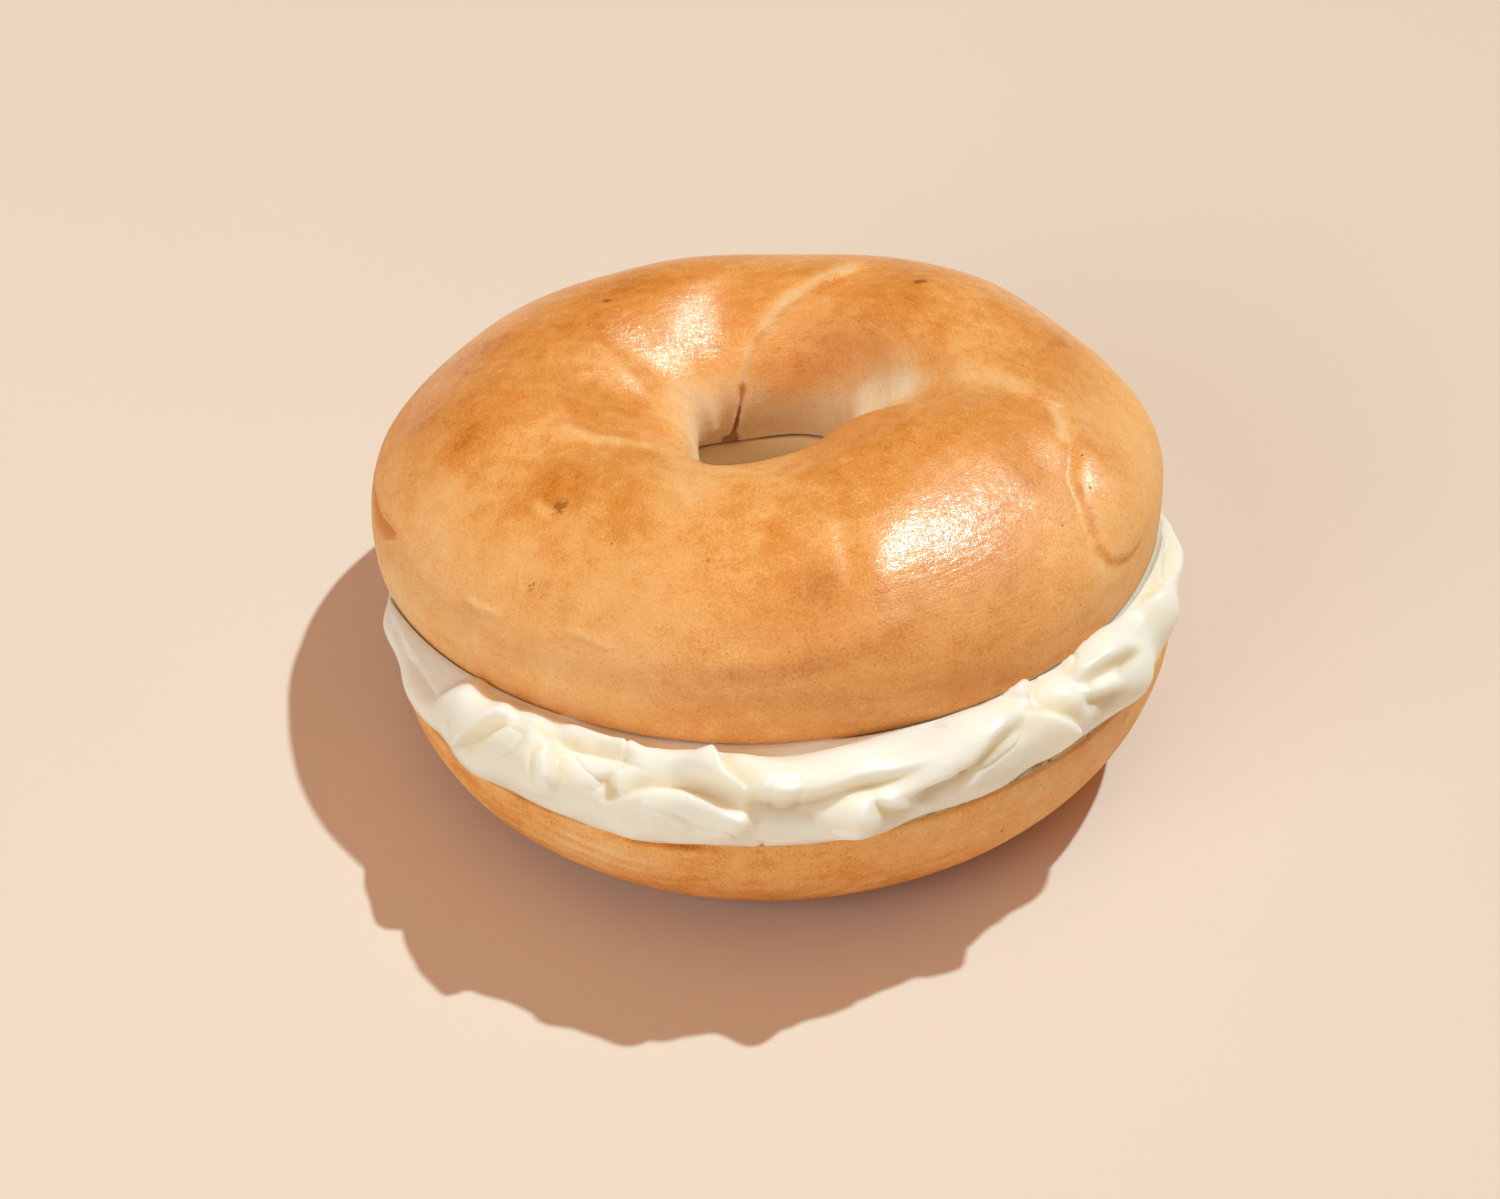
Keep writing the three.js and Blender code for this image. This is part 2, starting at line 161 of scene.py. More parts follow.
# Burnt flecks: around, section, radius, amount.
FLECKS = [
    (228, 69, 1.7, 1.0), (224, 67, 1.0, 0.6), (232, 38, 1.4, 0.75), (235, 36, 0.9, 0.65),
    (132, 94, 0.9, 1.2), (38, 86, 1.1, 1.3), (303, 89, 3.0, 0.40), (308, 85, 1.6, 0.45),
    (99, 183, 1.0, 0.9), (104, 197, 2.2, 1.4), (200, 60, 1.2, 0.6), (252, 74, 0.9, 0.6),
    (264, 60, 0.7, 0.8), (190, 40, 0.7, 0.8), (296, 56, 0.8, 0.7), (322, 78, 0.7, 0.7),
]
# Dark cracks, which fade in over the first fifth: path, half width, amount.
CRACKS = [
    ([(90, 168), (94, 176), (98, 182), (103, 196), (105, 202)], 0.4, 1.1),
    ([(170, 16), (181, 14), (190, 16), (198, 21)], 0.35, 0.75),
]
CRACK_START = 5
# More and less glazed places: around, section, radius, amount.
GLAZED = [(130, 140, 16, 0.2), (319, 39, 8, -0.35), (48, 146, 12, -0.8),
          (281.5, 50, 3, -0.6), (318, 76, 9, -0.18)]
# Places with fine wrinkles: around, section, radius, amount. The back seam has them all along.
WRINKLED = [(128, 138, 13, 0.35), (226, 62, 8, 0.4)]
SHINY_SEAM = [(55, 70), (60.5, 87), (65, 100), (69.5, 112), (75, 122), (77, 134)]
SEAM_WIDTH = 1.5

# ---------------------------------------------------------------- forms of the cream
# Laps where it was spread: path on the bead, how high the lap stands, the side it lies on,
# how far it reaches, and how deep the crevice in front of it goes.
SWIRLS = [
    ([(218.6, -6), (220.3, 20), (222.3, 45), (224.6, 68), (228, 88)], 1.5, -1, 3.6, 0.9),
    ([(229, 98), (233, 84), (236, 75), (237.2, 57), (238.4, 40), (239, 8)],
     1.1, 1, 4.5, 0.5),
    ([(234.5, 84), (238, 98), (242, 102), (246, 97), (249.5, 90)], 1.0, -1, 3.5, 0.8),
    ([(245.0, 66), (246.0, 48), (247.4, 30)], 0.5, -1, 3.0, 0.9),
    ([(247.4, 30), (249.5, 47), (252, 58), (256, 60), (260, 50), (264, 34), (268, 22)],
     1.2, 1, 4.5, 0.5),
    ([(260.4, 124), (261.4, 100), (262.6, 78), (264.8, 60), (268, 50)], 0.9, 1, 5.0, 0.9),
    ([(252, 84), (256, 76), (260, 60), (265, 48), (270, 43), (275, 44), (280, 52), (287, 52),
      (293, 56)], 1.3, -1, 5.0, 0.8),
    ([(281, 36), (283, 20), (285.5, 4), (289, -10)], 0.6, -1, 3.0, 0.6),
    ([(284, 22), (289, 22), (293.6, 25), (297, 34), (300, 47), (304, 58), (308, 70)],
     1.2, -1, 4.5, 0.7),
    ([(288, 4), (291, 2), (295, 12), (298, 24)], 0.5, 1, 2.5, 0.4),
    ([(306.5, 76), (309.5, 62), (311.5, 48), (313.5, 30), (315, 5)], 1.6, 1, 4.5, 0.9),
    ([(313.5, 118), (310.5, 96), (308.5, 80)], 0.7, 1, 3.5, 0.5),
    ([(316, 64), (319, 61), (322.5, 57), (326.6, 49), (332, 38)], 1.1, -1, 4.5, 0.6),
    ([(315.5, 44), (320, 29), (325, 14)], 0.9, -1, 3.5, 0.6),
    ([(189, 80), (190.5, 66), (193, 54), (197, 42)], 0.5, -1, 3.0, 0.5),
    ([(336, 92), (342, 72), (350, 56), (2, 46)], 1.0, 1, 4.5, 0.6),
    ([(345, 28), (355, 24), (8, 38), (18, 62)], 0.9, -1, 4.0, 0.6),
]
LAP_ENDS = 4                # a lap fades over a quarter of it at each end
# Lumps: around, turn over the bead, radius, height.
LUMPS = [
    (215, 62, 4.2, 0.7), (229, 40, 6.0, 0.6), (255, 88, 6.0, 0.5), (266, 88, 5.0, 0.5),
    (279.4, 20, 2.8, 1.6), (270, 10, 5.0, 0.5), (303, 22, 4.5, 0.6), (313, 84, 4.0, 0.6),
    (327, 70, 4.5, 0.8), (330, 22, 3.5, 0.7), (340, 46, 4.0, 0.7), (352, 40, 4.0, 0.6),
]
RELIEF_GAIN = 1.25          # on the laps and lumps together
FULL_BEAD = 5               # bead radius from which they have their full height
SPREAD_RING = 28            # radius of the ring that the cream's fine folds are drawn on
SMEAR_RING, SMEAR_STEP = 48, 0.25       # the same for its smears, with mm per section step
TOUCH = 0.06                # from the cream to the upper half

# ---------------------------------------------------------------- points of each mesh
BREAD_AROUND = 720
UPPER_CRUST_STEPS = 210
LOWER_CRUST_STEPS = 150
FACE_STEPS = 10
CREAM_AROUND = 1100
UNDER, BEAD_STEPS, OVER, END = 14, 110, 12, 9       # over the cream's section
HOLE_SHADE_FADE = 6              # steps over which the painted warm shade comes in towards the end in the hole


# ---------------------------------------------------------------- curves and noise
def smooth(v):
    """0 up to 0, 1 from 1 on, and an even S between them."""
    s = np.clip(v, 0, 1)
    return s * s * (3 - 2 * s)


def between(value, start, end):
    """0 at start and 1 at end, where start may be the higher of the two."""
    return smooth((value - start) / (end - start))


def bell(offset, width):
    """1 at no offset, falling off to both sides."""
    return np.exp(-((offset / width) ** 2))


def faded(along, first, last):
    """1 along a line, fading over 1/first of it at its start and 1/last at its end."""
    return smooth(along * first) * smooth((1 - along) * last)


def soft_max(first, second, blend):
    """The higher of two heights, with a round change from one to the other."""
    return (first + second + np.sqrt((first - second) ** 2 + blend ** 2)) / 2


def wrapped(turn):
    """The same turn in radians, taken the short way round."""
    return turn - np.round(turn / (2 * math.pi)) * 2 * math.pi


def wave_sum(a, waves):
    return sum(height * np.cos(times * (a - peak * RAD)) for times, height, peak in waves)


def round_knots(a, knots):
    """A value all round, from (around, value) knots."""
    at = np.array([k[0] for k in knots], float)
    value = np.array([k[1] for k in knots], float)
    angle = (a / RAD) % 360
    k = np.searchsorted(at, angle, side="right")
    low = (k - 1) % len(at)
    high = k % len(at)
    start = at[low] - 360 * (k == 0)
    end = at[high] + 360 * (k == len(at))
    return value[low] + (value[high] - value[low]) * between(angle, start, end)


def lattice_noise(points, cell, seed):
    """Smooth noise from -1 to 1 at points in mm, with lumps about a cell across."""
    size = 32
    table = np.random.default_rng(seed).uniform(-1, 1, (size, size, size))
    q = points / cell
    base = np.floor(q).astype(int)
    f = smooth(q - base)
    total = 0
    for corner in np.ndindex(2, 2, 2):
        weight = np.prod([f[..., k] if corner[k] else 1 - f[..., k] for k in range(3)], axis=0)
        i, j, k = [(base[..., n] + corner[n]) % size for n in range(3)]
        total = total + weight * table[i, j, k]
    return total


class Skin:
    """Points of a ring's surface by their two angles in radians, and distances over it."""

    def __init__(self, around, section, ring, tube):
        self.around = around
        self.section = section
        self.ring = ring            # radius in mm round the ring
        self.tube = tube            # radius in mm over the section

    def offset(self, around, section):
        """Way in mm from a place in radians: round the ring, and over the section."""
        return wrapped(self.around - around) * self.ring, (self.section - section) * self.tube

    def spots(self, places):
        """Sum of soft round spots from a table: around, section, radius, amount."""
        return sum(amount * bell(np.hypot(*self.offset(around * RAD, section * RAD)), radius)
                   for around, section, radius, amount in places)

    def towards(self, around, width):
        """1 in a direction in degrees, falling off over a width in radians."""
        return bell(wrapped(self.around - around * RAD), width)

    def to_path(self, path):
        """Distance in mm to a path, the side of it, and how far along it from 0 to 1. The
        side is -1 left of the path and 1 right of it, drawn with section over around."""
        best = np.full(self.around.shape, 1e9)
        side = np.ones(self.around.shape)
        along = np.zeros(self.around.shape)
        corners = [(around * RAD, section * RAD) for around, section in path]
        for k, ((a0, t0), (a1, t1)) in enumerate(zip(corners, corners[1:])):
            px, py = self.offset(a0, t0)
            dx, dy = wrapped(a1 - a0) * self.ring, (t1 - t0) * self.tube
            s = np.clip((px * dx + py * dy) / (dx * dx + dy * dy), 0, 1)
            distance = np.hypot(px - s * dx, py - s * dy)
            nearer = distance < best
            side = np.where(nearer, np.where(dx * py - dy * px > 0, -1, 1), side)
            along = np.where(nearer, (k + s) / (len(path) - 1), along)
            best = np.minimum(best, distance)
        return best, side, along

    def place(self):
        """The points with the ring laid out in x and y, and the section along z, in mm."""
        return np.stack([self.ring * np.cos(self.around), self.ring * np.sin(self.around),
                         self.section * self.tube], -1)


# ---------------------------------------------------------------- rules of shape
def way(start, end):
    """The length of the way between points, and a function for the point at a distance."""
    span = np.linalg.norm(end - start, axis=-1)
    out = (end - start) / span[..., None]
    return span, lambda s: start + out * s[..., None]


def spoke(a, half):
    """The way over a half's cut face, from the hole to the outline."""
    hole = HOLE["radius"] + wave_sum(a, HOLE["waves"])
    outer = half["radius"] + wave_sum(a, half["waves"])
    return way(np.stack([HOLE["x"] + hole * np.cos(a), HOLE["y"] + hole * np.sin(a)], -1),
               np.stack([outer * np.cos(a), outer * np.sin(a)], -1))


def past_outline(p, half):
    """How far places lie outside a half's outline."""
    dx, dy = p[..., 0] - half["x"], p[..., 1] - half["y"]
    return np.hypot(dx, dy) - (half["radius"] + wave_sum(np.arctan2(dy, dx), half["waves"]))


def raised(p, z):
    return np.concatenate([p, z[..., None]], -1)


def top_cut(p):
    """Height of the upper half's cut face."""
    dx, dy = p[..., 0] - TOP["x"], p[..., 1] - TOP["y"]
    return (TOP["z"] + dx * math.tan(TOP["side"] * RAD)
            - dy * math.tan(TOP["back"] * RAD) / math.cos(TOP["side"] * RAD))


def bottom_cut(p):
    """Height of the lower half's cut face."""
    dx, dy = p[..., 0] - BOTTOM["x"], p[..., 1] - BOTTOM["y"]
    return (BOTTOM["cut"] + dx * math.tan(BOTTOM["side"] * RAD)
            - dy * math.tan(BOTTOM["back"] * RAD))


def place_top(p, z):
    """Tips the upper half and lays it in its place."""
    back, side = TOP["back"] * RAD, TOP["side"] * RAD
    x, y = p[..., 0], p[..., 1]
    y1 = y * math.cos(back) + z * math.sin(back)
    z1 = z * math.cos(back) - y * math.sin(back)
    return np.stack([TOP["x"] + x * math.cos(side) - z1 * math.sin(side), TOP["y"] + y1,
                     TOP["z"] + x * math.sin(side) + z1 * math.cos(side)], -1)


def top_crust(a, t, relief):
    """The upper crust: up the outer wall, over the crown and down the wall of the hole."""
    span, at = spoke(a, TOP)
    crown = span * TOP["crown_at"]
    wall_turn = TOP["skirt"] / TOP["rise"]
    arc = np.clip(t, 0, math.pi)
    full = 1 + TOP["fullness"] * np.sin(2 * arc) ** 2
    reach = np.where(np.cos(arc) > 0, span - crown, crown)
    low = np.maximum(-t, 0) / wall_turn
    inside = np.maximum(t - math.pi, 0) / wall_turn
    s = crown + reach * np.cos(arc) * full - TOP["tuck"] * low ** 2 + TOP["tuck"] * inside ** 2
    z = TOP["skirt"] + TOP["rise"] * np.sin(arc) * full - TOP["skirt"] * (low + inside)
    lift = relief * smooth(z / TOP["skirt"])
    s = s + lift * np.cos(arc) * full
    foot = RIM_LIFT * TOP["edge"] * smooth(1 - z / TOP["edge"])
    z = np.maximum(z + lift * np.sin(arc), foot)
    return place_top(at(s), z)


def bottom_crust(a, t, relief):
    """The lower crust: down the wall of the hole, under the half and up the outer wall."""
    span, at = spoke(a, BOTTOM)
    cut, widest = BOTTOM["cut"], BOTTOM["widest"]
    collar = cut - widest
    wall_turn = collar / widest
    arc = np.clip(t, -math.pi, 0)
    full = 1 + BOTTOM["fullness"] * np.sin(2 * arc) ** 2
    high = np.maximum(t, 0) / wall_turn
    inside = np.maximum(-math.pi - t, 0) / wall_turn
    s = (span / 2 * (1 + np.cos(arc) * full) - BOTTOM["tuck"] * high ** 2
         + BOTTOM["tuck"] * inside ** 2)
    z = widest * (1 + np.sin(arc) * full) + collar * (high + inside)
    drop = BOTTOM["flat"] * widest / (widest + BOTTOM["flat"])
    z = np.maximum((z - drop) * cut / (cut - drop), 0)
    s = s + relief * np.cos(arc) * between(cut - z, 0, 3)       # none right at the cut
    p = at(s)
    lean = (p[..., 0] * math.tan(BOTTOM["side"] * RAD)
            - p[..., 1] * math.tan(BOTTOM["back"] * RAD)) / cut
    rim = RIM_LIFT * BOTTOM["edge"] * smooth((z - cut + BOTTOM["edge"]) / BOTTOM["edge"])
    return np.stack([BOTTOM["x"] + p[..., 0], BOTTOM["y"] + p[..., 1],
                     (z - rim) * (1 + lean)], -1)


def face_places(a, share, half):
    """Places on a cut face, by the share of the way from the hole to the outline."""
    span, at = spoke(a, half)
    inside = half["tuck"] + half["edge"]
    return at(inside + (span - 2 * inside) * share)


def top_face(a, share):
    return place_top(face_places(a, share, TOP), np.zeros(a.shape))


def bottom_face(a, share):
    p = face_places(a, share, BOTTOM) + np.array([BOTTOM["x"], BOTTOM["y"]])
    return raised(p, bottom_cut(p))


def crust_relief(skin):
    """Height of the upper crust's waves, folds, hollows and swellings."""
    height = sum(rise * np.cos(times * skin.around + over * skin.section)
                 for times, over, rise in SLOW_WAVES)
    for path, depth, width, lip, lip_side, lip_width, sharp in CREASES:
        distance, side, along = skin.to_path(path)
        raised_lip = lip * smooth(distance / width) * bell(distance, lip_width)
        height = height + faded(along, LINE_ENDS, LINE_ENDS) * (
            raised_lip * (side == lip_side) - depth * bell(distance, width)
            - sharp * bell(distance, SHARP_WIDTH))
    return height + skin.spots(DENTS)


# ---------------------------------------------------------------- meshes
def add_object(name, data):
    thing = bpy.data.objects.new(name, data)
    bpy.context.scene.collection.objects.link(thing)
    return thing


def ring_piece(name, points, node, looks, materials, face_from=None):
    """A closed ring mesh from points (around, section, 3) in mm, in place of a node. Looks
    are values at the points for the material. From the section step face_from on, the mesh
    has the second material."""
    around, section = points.shape[:2]
    i, j = np.meshgrid(np.arange(around), np.arange(section), indexing="ij")
    i1, j1 = (i + 1) % around, (j + 1) % section
    quads = np.stack([i * section + j, i1 * section + j, i1 * section + j1, i * section + j1],
                     -1).reshape(-1, 4)
    on_face = (j >= (section if face_from is None else face_from)).reshape(-1)
    mesh = bpy.data.meshes.new(name)
    mesh.vertices.add(around * section)
    mesh.vertices.foreach_set("co", (points * MM).reshape(-1).astype(np.float32))
    mesh.loops.add(quads.size)
    mesh.loops.foreach_set("vertex_index", quads.reshape(-1).astype(np.int32))
    mesh.polygons.add(len(quads))
    mesh.polygons.foreach_set("loop_start", np.arange(len(quads), dtype=np.int32) * 4)
    mesh.polygons.foreach_set("material_index", on_face.astype(np.int32))
    mesh.update(calc_edges=True)
    uv = mesh.uv_layers.new(name="ring")
    corners = np.stack([np.stack([i, i + 1, i + 1, i], -1) / around,
                        np.stack([j, j, j + 1, j + 1], -1) / section], -1)
    uv.data.foreach_set("uv", corners.reshape(-1).astype(np.float32))
    for key, value in looks.items():
        kind, field = ("FLOAT_VECTOR", "vector") if value.ndim == 3 else ("FLOAT", "value")
        attribute = mesh.attributes.new(key, kind, "POINT")
        attribute.data.foreach_set(field, value.reshape(-1).astype(np.float32))
    mesh.shade_smooth()
    for material in materials:
        mesh.materials.append(material)
    piece = add_object(name, mesh)
    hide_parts(node)
    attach(piece, "root")


def grid(around, values):
    """Angles round a ring in radians against values over its section."""
    return np.meshgrid(np.arange(around) / around * 2 * math.pi, values, indexing="ij")


def bread_skin(low, high, steps, ring):
    """The skin of a half's crust, with its section from low to high in radians."""
    a, t = grid(BREAD_AROUND, np.linspace(low, high, steps))
    middle, across = ring
    return Skin(a, t, middle + across * np.cos(t), TUBE)


def lumpy(crust, skin, relief, height, cell, seed):
    """A crust with its relief, and with slight lumps about a cell across."""
    even = crust(skin.around, skin.section, np.zeros(skin.around.shape))
    return crust(skin.around, skin.section, relief + height * lattice_noise(even, cell, seed))


def bread_half(name, node, skin, crust, face, looks, crust_material):
    """A half from the points of its crust and its cut face. The looks are the crust's: the
    cut face is crumb, which reads none of them, and has zeros."""
    def with_face(value):
        return np.pad(value, [(0, 0), (0, face.shape[1])] + [(0, 0)] * (value.ndim - 2))

    looks = {key: with_face(value) for key, value in dict(looks, skin=skin.place()).items()}
    ring_piece(name, np.concatenate([crust, face], 1), node, looks,
               [crust_material, crumb], face_from=crust.shape[1] - 1)


# ---------------------------------------------------------------- node helpers
class Nodes:
    """Short ways to add nodes to a node tree."""

    def __init__(self, tree):
        self.tree = tree

    def add(self, kind, settings=None, **inputs):
        """A node with inputs by name, with _ for a space, or by number, as in _0."""
        node = self.tree.nodes.new(kind)
        for key, value in (settings or {}).items():
            setattr(node, key, value)
        for key, value in inputs.items():
            socket = node.inputs[int(key[1:]) if key[0] == "_" else key.replace("_", " ")]
            self.plug(socket, value)
        return node

    def plug(self, socket, value):
        if isinstance(value, bpy.types.NodeSocket):
            self.tree.links.new(value, socket)
        else:
            socket.default_value = value

    def object_place(self):
        return self.add("ShaderNodeTexCoord").outputs["Object"]

    def attribute(self, name, output="Fac"):
        return self.add("ShaderNodeAttribute", dict(attribute_name=name)).outputs[output]

    def math(self, operation, first, second=0.0, clamp=False):
        settings = dict(operation=operation, use_clamp=clamp)
        return self.add("ShaderNodeMath", settings, _0=first, _1=second).outputs[0]

    def plus(self, *values):
        total = values[0]
        for value in values[1:]:
            total = self.math("ADD", total, value)
        return total

    def times(self, first, second):
        return self.math("MULTIPLY", first, second)

    def stretch(self, vector, scale):
        return self.add("ShaderNodeMapping", _0=vector, _3=scale).outputs[0]

    def noise(self, vector, scale, detail=2.0, roughness=0.5, distortion=0.0):
        """Noise from -1 to 1, with lumps about 1/scale across."""
        node = self.add("ShaderNodeTexNoise", Vector=vector, Scale=scale, Detail=detail,
                        Roughness=roughness, Distortion=distortion)
        return self.math("SUBTRACT", self.times(node.outputs["Fac"], 2.0), 1.0)

    def cells(self, vector, scale):
        """Distance from the middle of cells about 1/scale across, and a colour for each."""
        node = self.add("ShaderNodeTexVoronoi", Vector=vector, Scale=scale)
        return node.outputs["Distance"], node.outputs["Color"]

    def ramp(self, factor, stops):
        node = self.add("ShaderNodeValToRGB", Fac=factor)
        ramp = node.color_ramp
        ramp.interpolation = "EASE"
        while len(ramp.elements) < len(stops):
            ramp.elements.new(0.5)
        for element, (at, colour) in zip(ramp.elements, stops):
            element.position = at
            element.color = colour
        return node.outputs[0]

    def level(self, factor, low, high, to_low=0.0, to_high=1.0):
        """The factor's way from low to high, as a smooth way between two other values."""
        return self.add("ShaderNodeMapRange", dict(interpolation_type="SMOOTHSTEP"),
                        _0=factor, _1=low, _2=high, _3=to_low, _4=to_high).outputs[0]

    def mix(self, factor, first, second):
        """A colour between two."""
        return self.add("ShaderNodeMix", dict(data_type="RGBA"),
                        _0=factor, _6=first, _7=second).outputs[2]

    def bump(self, height, unit=MM):
        """The normal over a relief whose height is in units of so many metres."""
        return self.add("ShaderNodeBump", Height=height, Distance=unit, Strength=1.0).outputs[0]


class Shader(Nodes):
    """A material of one Principled shader."""

    def __init__(self, name):
        self.material = bpy.data.materials.new(name)
        self.material.use_nodes = True
        super().__init__(self.material.node_tree)
        self.tree.nodes.clear()
        self.body = self.add("ShaderNodeBsdfPrincipled")
        self.add("ShaderNodeOutputMaterial", Surface=self.body.outputs[0])

    def set(self, **inputs):
        for key, value in inputs.items():
            self.plug(self.body.inputs[key.replace("_", " ")], value)


def tone(red, green, blue):
    """A screen colour of 0 to 255 as linear values."""
    def linear(v):
        v /= 255
        return v / 12.92 if v <= 0.04045 else ((v + 0.055) / 1.055) ** 2.4
    return (linear(red), linear(green), linear(blue), 1.0)


# ---------------------------------------------------------------- materials
BAKED = [                   # the crust's colours, from pale to dark
    (0.00, tone(255, 234, 198)),
    (0.16, tone(255, 220, 174)),
    (0.34, tone(254, 202, 139)),
    (0.52, tone(249, 181, 104)),
    (0.68, tone(233, 152, 68)),
    (0.86, tone(208, 118, 30)),
    (1.00, tone(146, 76, 18)),
]
FLOURY, DOT_BROWN = tone(238, 190, 126), tone(150, 86, 30)
BURNT, PORE_BROWN = tone(138, 68, 14), tone(84, 38, 10)
# the crumb's hollow colour is painted shade in its open cells
CRUMB_HOLLOW_SHADE, CRUMB_PALE = tone(232, 196, 148), tone(254, 236, 204)
CREAM_PALE, CREAM_WARM = tone(255, 247, 236), tone(253, 243, 226)
# the cream's crevice colour is painted shade, and its hole colour a painted warm shade
CREAM_CREVICE_SHADE, CREAM_HOLE_SHADE = tone(248, 230, 196), tone(255, 234, 196)


def crust_marks(m, skin):
    """Small dark pores, finer dots, and burnt flecks where the mesh asks for them."""
    distance, colour = m.cells(skin, 0.3)
    pick = m.add("ShaderNodeSeparateColor", Color=colour).outputs[0]
    size = m.math("MAXIMUM", m.level(pick, 0.4, 1.0, 0.0, 0.055), 0.001)
    pore = m.level(m.math("DIVIDE", distance, size), 0.6, 1.1, 1.0, 0.0)
    pore = m.times(pore, m.math("GREATER_THAN", pick, 0.6))
    dot = m.level(m.cells(skin, 1.3)[0], 0.08, 0.24, 1.0, 0.0)
    ragged = m.noise(skin, 1.5, detail=3.0, roughness=0.7, distortion=0.6)
    fleck = m.level(m.plus(m.attribute("burn"), m.times(ragged, 0.8)), 0.55, 1.0)
    return pore, dot, fleck


def crust_relief_nodes(m, skin, pore, dot, ripple):
    """Height in mm of the crust's grain, peel, wrinkles and ripple, with its marks sunk."""
    grain = m.noise(skin, 7.0, detail=0.0)
    fine = m.noise(skin, 3.2, detail=1.0, roughness=0.6)
    peel = m.noise(skin, 0.95, detail=2.0, roughness=0.6)
    soft = m.noise(skin, 0.24, detail=1.0, roughness=0.5)
    cross = m.noise(m.stretch(skin, (1.1, 1.1, 0.62)), 1.5, detail=2.0, roughness=0.62,
                    distortion=1.0)
    along = m.noise(m.stretch(skin, (0.3, 0.3, 1.5)), 0.9, detail=2.0, roughness=0.6)
    return m.plus(m.times(grain, 0.011), m.times(fine, 0.013), m.times(peel, 0.014),
                  m.times(soft, 0.05), m.times(m.times(cross, m.attribute("wrinkle")), 0.065),
                  m.times(along, ripple), m.times(pore, -0.04), m.times(dot, -0.02))


def baked_material(name, gloss_rough, matt_rough, coat, streaks, ripple):
    """Baked dough: its roughness where it is glossy and where it is matt, its clear coat, and
    how strong its colour streaks and its ripple are. The mesh brings 'skin', the place on
    the crust in mm, and from 0 to 1 'brown_and_painted_light' (pale to dark, with the painted
    highlights and painted shade of the upper crust), 'burn' (where flecks are), 'glaze',
    'dull' (a floury veil) and 'wrinkle'."""
    m = Shader(name)
    skin = m.attribute("skin", "Vector")
    glaze = m.attribute("glaze")
    pore, dot, fleck = crust_marks(m, skin)

    blotch = m.noise(skin, 0.085, detail=2.0, roughness=0.6)
    mottle = m.noise(skin, 0.42, detail=3.0, roughness=0.65)
    speckle = m.noise(skin, 3.2, detail=2.0, roughness=0.75)
    streak = m.noise(m.stretch(skin, (0.22, 0.22, 1.4)), 0.5, detail=3.0, roughness=0.6)
    shade = m.plus(m.attribute("brown_and_painted_light"), m.times(blotch, 0.20), m.times(mottle, 0.17),
                   m.times(speckle, 0.26), m.times(streak, streaks))
    colour = m.ramp(shade, BAKED)
    colour = m.mix(m.times(m.attribute("dull"), 0.26), colour, FLOURY)
    dot_strength = m.level(glaze, 0.0, 0.8, 0.32, 0.08)
    colour = m.mix(m.times(dot, dot_strength), colour, DOT_BROWN)
    colour = m.mix(m.times(fleck, 0.72), colour, BURNT)
    colour = m.mix(m.times(pore, 0.85), colour, PORE_BROWN)
    normal = m.bump(crust_relief_nodes(m, skin, pore, dot, ripple))

    patch = m.noise(skin, 0.16, detail=2.0, roughness=0.6)
    shine = m.math("ADD", glaze, m.times(patch, 0.35), clamp=True)
    film = m.noise(m.stretch(skin, (1.0, 1.0, 0.7)), 1.7, detail=3.0, roughness=0.65,
                   distortion=0.8)
    film = m.level(film, -0.30, 0.40, 0.12, 0.90)
    rough = m.level(shine, 0.0, 1.0, matt_rough, gloss_rough)
    rough = m.times(rough, m.level(film, 0.15, 1.0, 1.3, 0.95))
    unmarked = m.math("SUBTRACT", 1.0, m.times(m.math("MAXIMUM", pore, fleck), 0.7))
    coated = m.times(m.times(m.level(shine, 0.3, 0.9), unmarked), m.times(film, coat))
    m.set(Base_Color=colour, Roughness=rough, Normal=normal, IOR=1.47)
    m.set(Specular_IOR_Level=m.times(unmarked, 0.75), Specular_Tint=(1.0, 0.82, 0.68, 1.0))
    m.set(Coat_Weight=coated, Coat_Roughness=0.15, Coat_IOR=1.5, Coat_Normal=normal)
    m.set(Subsurface_Weight=0.10, Subsurface_Scale=0.0016,
          Subsurface_Radius=(1.0, 0.55, 0.28))
    return m.material


def crumb_material():
    """The cut face's crumb, with small and large open cells, darker in their hollows as painted
    shade.
    """
    m = Shader("crumb")
    place = m.object_place()
    small = m.level(m.cells(place, 900.0)[0], 0.15, 0.5)
    large = m.level(m.cells(place, 380.0)[0], 0.1, 0.42)
    wall = m.math("MINIMUM", small, large)
    # painted shade: darker in the cells' hollows
    m.set(Base_Color=m.mix(wall, CRUMB_HOLLOW_SHADE, CRUMB_PALE), Roughness=0.85,
          Normal=m.bump(wall, 0.5 * MM), Specular_IOR_Level=0.25)
    m.set(Subsurface_Weight=0.2, Subsurface_Scale=0.002, Subsurface_Radius=(1.0, 0.8, 0.5))
    return m.material


